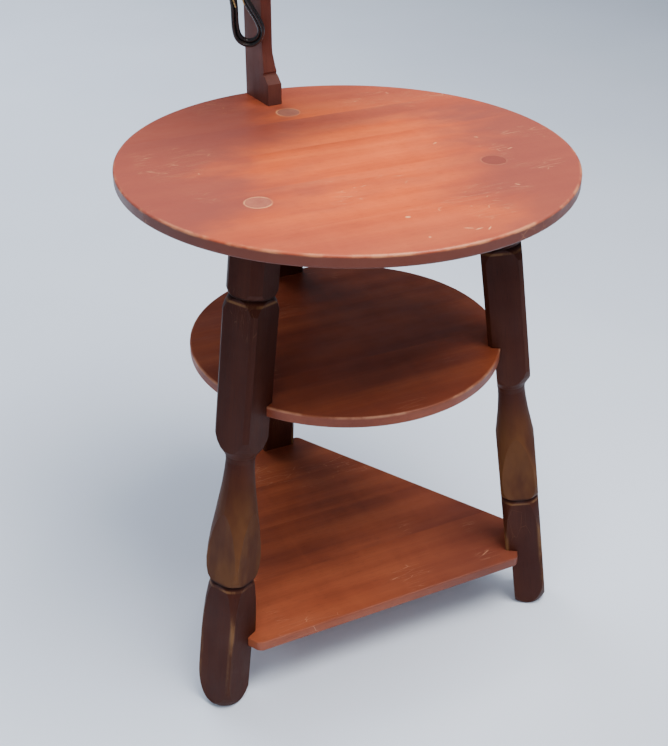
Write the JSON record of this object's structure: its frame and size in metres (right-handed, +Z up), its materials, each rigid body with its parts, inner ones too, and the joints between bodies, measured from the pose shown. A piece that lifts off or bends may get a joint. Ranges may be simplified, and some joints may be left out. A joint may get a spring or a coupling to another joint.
{
  "type": "lamp table",
  "caption": "Three-legged colonial lamp table with a round top, a round shelf, a three-sided lower shelf and a wooden lamp post with shade and hanging cord.",
  "frame": {"origin": "on the floor, under the centre of the round top, which is also the centre of the circle of the three feet", "axes": "+Z up; +Y towards the rear leg and the lamp post; +X to the right seen from the front"},
  "size_m": [0.61, 0.6332, 1.297],
  "materials": {
    "top_wood": "satin worn stain and lacquer",
    "leg_wood": "dark satin stain",
    "shelf_wood": "satin stain and lacquer",
    "post_wood": "satin stain and lacquer",
    "dowel_wood": "bare",
    "screw_steel": "plain",
    "brass": "aged satin",
    "contact_brass": "bright",
    "core_plastic": "moulded",
    "knob_plastic": "moulded",
    "bulb_cap": "plain",
    "bulb_glass": "frosted",
    "shade_paper": "parchment",
    "cord_plastic": "soft vinyl",
    "plug_plastic": "moulded",
    "tie_plastic": "soft vinyl"
  },
  "bodies": {
    "table": {"top_board_1": "top_wood", "top_board_2": "top_wood", "top_board_3": "top_wood", "top_board_4": "top_wood", "top_board_5": "top_wood", "leg_left": "leg_wood", "leg_right": "leg_wood", "leg_rear": "leg_wood", "mid_shelf_board_1": "shelf_wood", "mid_shelf_board_2": "shelf_wood", "mid_shelf_board_3": "shelf_wood", "low_shelf_board_1": "shelf_wood", "low_shelf_board_2": "shelf_wood", "low_shelf_board_3": "shelf_wood", "low_shelf_board_4": "shelf_wood", "mid_shelf_dowels": "dowel_wood", "low_shelf_dowels": "dowel_wood", "lamp_post": "post_wood", "post_screws": "screw_steel", "lamp_arm": "post_wood", "arm_peg": "dowel_wood", "arm_brace": "post_wood", "lamp_nipple": "brass", "nipple_cap_nut": "brass", "shade_check_ring": "brass", "socket_cap": "brass", "socket_shell": "brass", "socket_core": "core_plastic", "socket_thread": "contact_brass", "bulb_base": "bulb_cap", "bulb_glass": "bulb_glass", "shade_skin": "shade_paper", "shade_frame": "brass", "inner_cord": "cord_plastic", "cord_sleeve": "plug_plastic", "cord": "cord_plastic", "cord_hank": "cord_plastic", "cord_tail": "cord_plastic", "cord_tie": "tie_plastic", "plug_body": "plug_plastic", "plug_blades": "contact_brass"},
    "switch": {"switch_stem": "brass", "switch_knob": "knob_plastic"}
  },
  "joints": [
    {"name": "switch_turn", "type": "hinge", "parent": "table", "child": "switch", "pos_m": [0.0038, 0.0898, 1.209], "axis": [0.9971, 0.0767, 0], "continuous": true}
  ]
}
